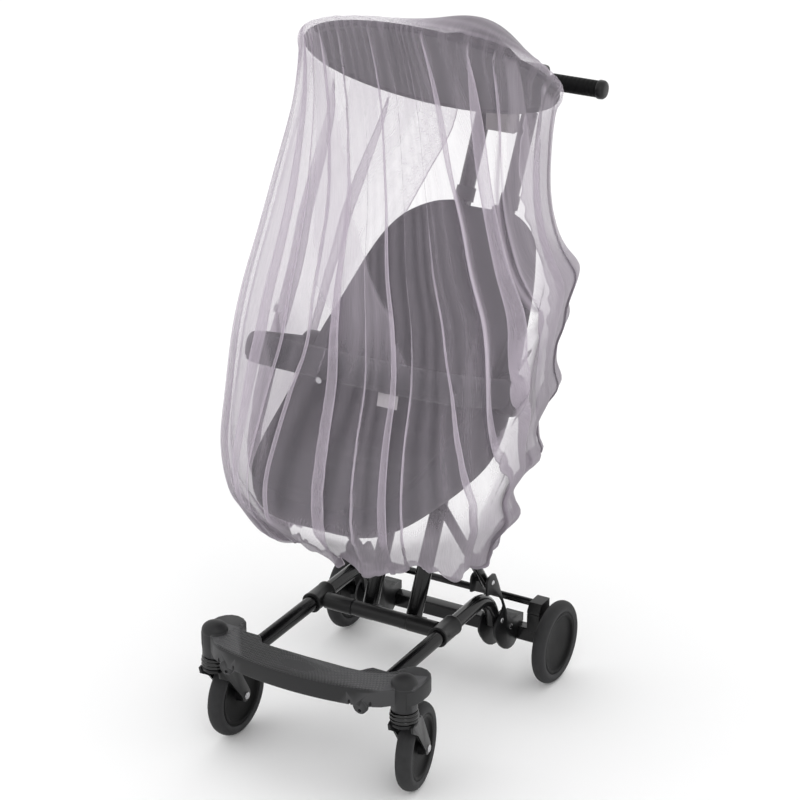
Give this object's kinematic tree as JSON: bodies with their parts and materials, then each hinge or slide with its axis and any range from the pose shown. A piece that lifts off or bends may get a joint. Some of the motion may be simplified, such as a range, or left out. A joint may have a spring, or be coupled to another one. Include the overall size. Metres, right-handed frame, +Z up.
{
  "type": "stroller with mosquito net",
  "caption": "Lightweight stroller with a round hood and a sheer elastic-hemmed mosquito net draped over hood and seat down to below the seat.",
  "frame": {"origin": "on the floor under the middle of the whole part", "axes": "+Z up, -Y towards the front wheels and footboard, +X to the right of someone looking from the back"},
  "size_m": [0.5009, 0.774, 1.2411],
  "materials": {
    "black_tube": "satin",
    "black_plastic": "matt moulded",
    "tyre": "matt",
    "bolt_steel": "satin",
    "grey_fabric": "woven polyester",
    "net_mesh": "fine sheer mesh",
    "tag_cloth": "woven label, blank",
    "bridge_plastic": "matt"
  },
  "bodies": {
    "root": {"footboard": "black_plastic", "caster_bearing_left": "black_plastic", "caster_fork_left": "black_plastic", "front_tyre_left": "tyre", "front_disc_left": "black_plastic", "caster_bolt_left_left": "bolt_steel", "caster_bolt_left_right": "bolt_steel", "caster_bearing_right": "black_plastic", "caster_fork_right": "black_plastic", "front_tyre_right": "tyre", "front_disc_right": "black_plastic", "caster_bolt_right_left": "bolt_steel", "caster_bolt_right_right": "bolt_steel", "rear_tyre_left": "tyre", "rear_disc_left": "black_plastic", "rear_tyre_right": "tyre", "rear_disc_right": "black_plastic", "side_rail_left": "black_tube", "rail_collar_left": "black_plastic", "mast_left": "black_tube", "mast_lug_left": "black_plastic", "seat_clip_left": "black_plastic", "side_rail_right": "black_tube", "rail_collar_right": "black_plastic", "mast_right": "black_tube", "mast_lug_right": "black_plastic", "seat_clip_right": "black_plastic", "cross_tube": "black_tube", "cross_sleeve": "black_plastic", "rear_axle": "black_tube", "brake_rod": "black_tube", "axle_bracket_left": "black_plastic", "brake_block_left": "black_plastic", "seat_strut_left": "black_tube", "axle_bracket_right": "black_plastic", "brake_block_right": "black_plastic", "seat_strut_right": "black_tube", "mast_head": "black_plastic", "mast_bridge": "bridge_plastic", "handle_tube_left": "black_tube", "handle_grip_left": "black_plastic", "handle_cap_left": "black_plastic", "handle_tube_right": "black_tube", "handle_grip_right": "black_plastic", "handle_cap_right": "black_plastic", "seat": "grey_fabric", "guard_bar": "grey_fabric", "guard_joint_left": "black_plastic", "guard_joint_right": "black_plastic", "bar_tag": "tag_cloth", "hood": "grey_fabric", "net": "net_mesh"}
  },
  "joints": []
}
